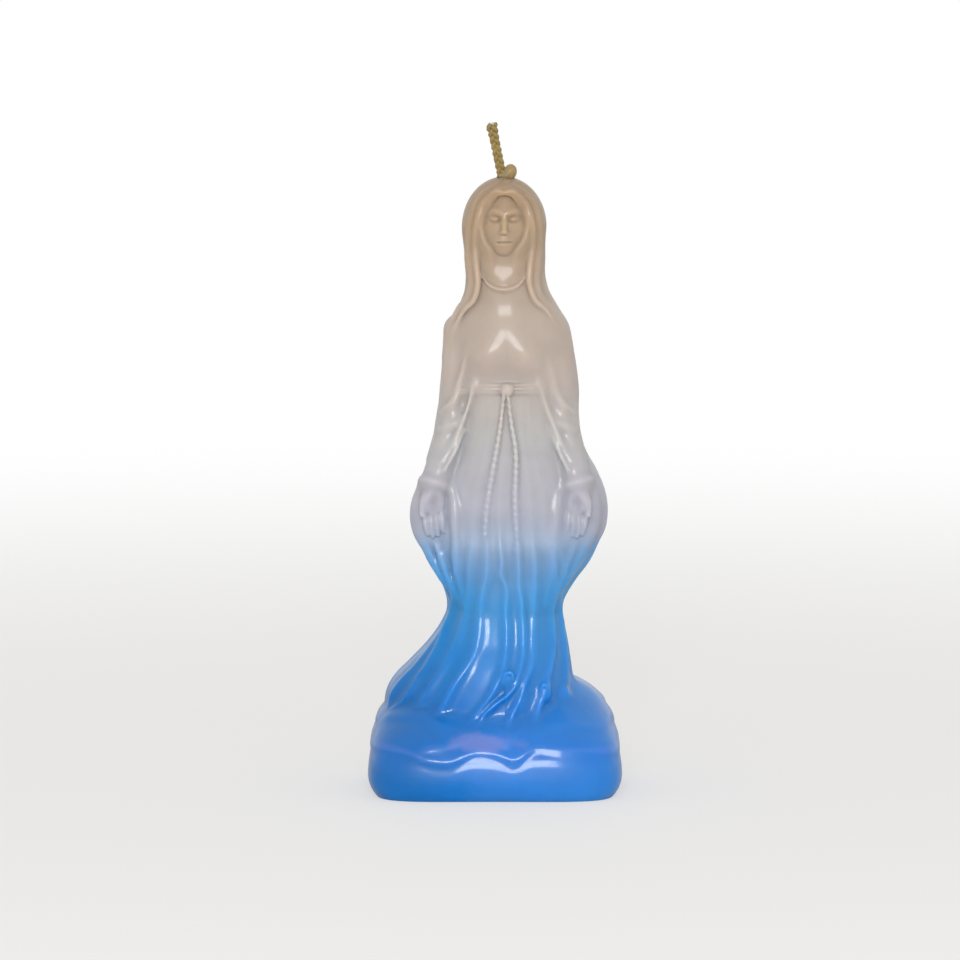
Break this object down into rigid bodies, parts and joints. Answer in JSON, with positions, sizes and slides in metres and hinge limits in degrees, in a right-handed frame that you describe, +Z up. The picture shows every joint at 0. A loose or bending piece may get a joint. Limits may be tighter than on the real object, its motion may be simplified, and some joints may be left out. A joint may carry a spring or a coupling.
{
  "type": "figural candle",
  "caption": "Moulded wax candle in the form of a veiled standing lady over a block of waves, cast in ivory and blue wax round one cotton wick, standing on its flat foot.",
  "frame": {"origin": "middle of the foot's outline, on the surface that the candle stands on", "axes": "+Z up along the candle, -Y out of its front towards the viewer, +X to the viewer's right"},
  "size_m": [0.0614, 0.0462, 0.1624],
  "materials": {
    "ivory_wax": "undyed paraffin and beeswax blend, moulded, with a soft gloss and a little light passing into it",
    "blue_wax": "blue-dyed paraffin wax, moulded, with a soft gloss and a little light passing into it",
    "waxed_cotton": "flat-braided cotton wick, soaked in wax, cut square at its end"
  },
  "bodies": {
    "root": {"ivory_pour": "ivory_wax", "blue_pour": "blue_wax", "foot_top_up": "blue_wax", "wick": "waxed_cotton", "wick_seal": "ivory_wax"}
  },
  "joints": []
}
